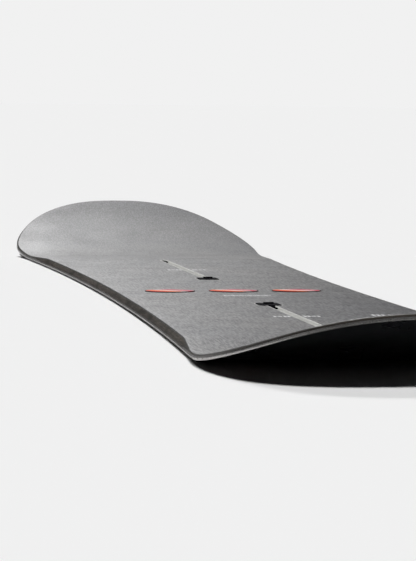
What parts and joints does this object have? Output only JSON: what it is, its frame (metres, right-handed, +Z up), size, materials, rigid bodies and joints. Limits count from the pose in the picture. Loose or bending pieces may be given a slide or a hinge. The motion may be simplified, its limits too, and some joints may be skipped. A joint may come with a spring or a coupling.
{
  "type": "snowboard",
  "caption": "Flat-profile directional snowboard with upturned ends, steel edges, bevelled sidewalls and T-slot binding channels with pull-out window plugs.",
  "frame": {"origin": "on the floor plane under the middle of the board's bounding box, at the flat running face", "axes": "+X towards the nose, +Y to the board's left, +Z up, away from the running face"},
  "size_m": [1.56, 0.294, 0.0602],
  "materials": {
    "base_plastic": "satin",
    "edge_steel": "ground",
    "foil_rubber": "matt",
    "glass_laminate": "translucent resin",
    "light_wood": "sanded",
    "dense_wood": "sanded",
    "spacer_plastic": "matt",
    "sidewall_plastic": "matt, machined",
    "topsheet_skin": "satin with a fine grain",
    "channel_plastic": "satin",
    "plug_plastic": "matt"
  },
  "bodies": {
    "board": {"running_base": "base_plastic", "steel_edge_left": "edge_steel", "steel_edge_right": "edge_steel", "damping_foil_left": "foil_rubber", "damping_foil_right": "foil_rubber", "lower_laminate": "glass_laminate", "core_light_strips": "light_wood", "core_dense_strips": "dense_wood", "nose_spacer": "spacer_plastic", "tail_spacer": "spacer_plastic", "sidewall_left": "sidewall_plastic", "sidewall_right": "sidewall_plastic", "upper_laminate": "glass_laminate", "topsheet": "topsheet_skin", "channel_front": "channel_plastic", "channel_rear": "channel_plastic", "channel_stop_front": "plug_plastic", "channel_stop_rear": "plug_plastic"},
    "front_plug": {"window_plug_front": "plug_plastic"},
    "rear_plug": {"window_plug_rear": "plug_plastic"}
  },
  "joints": [
    {"name": "front_plug_pull", "type": "slide", "parent": "board", "child": "front_plug", "axis": [0, 0, 1], "range_m": [0, 0.02]},
    {"name": "rear_plug_pull", "type": "slide", "parent": "board", "child": "rear_plug", "axis": [0, 0, 1], "range_m": [0, 0.02]}
  ]
}
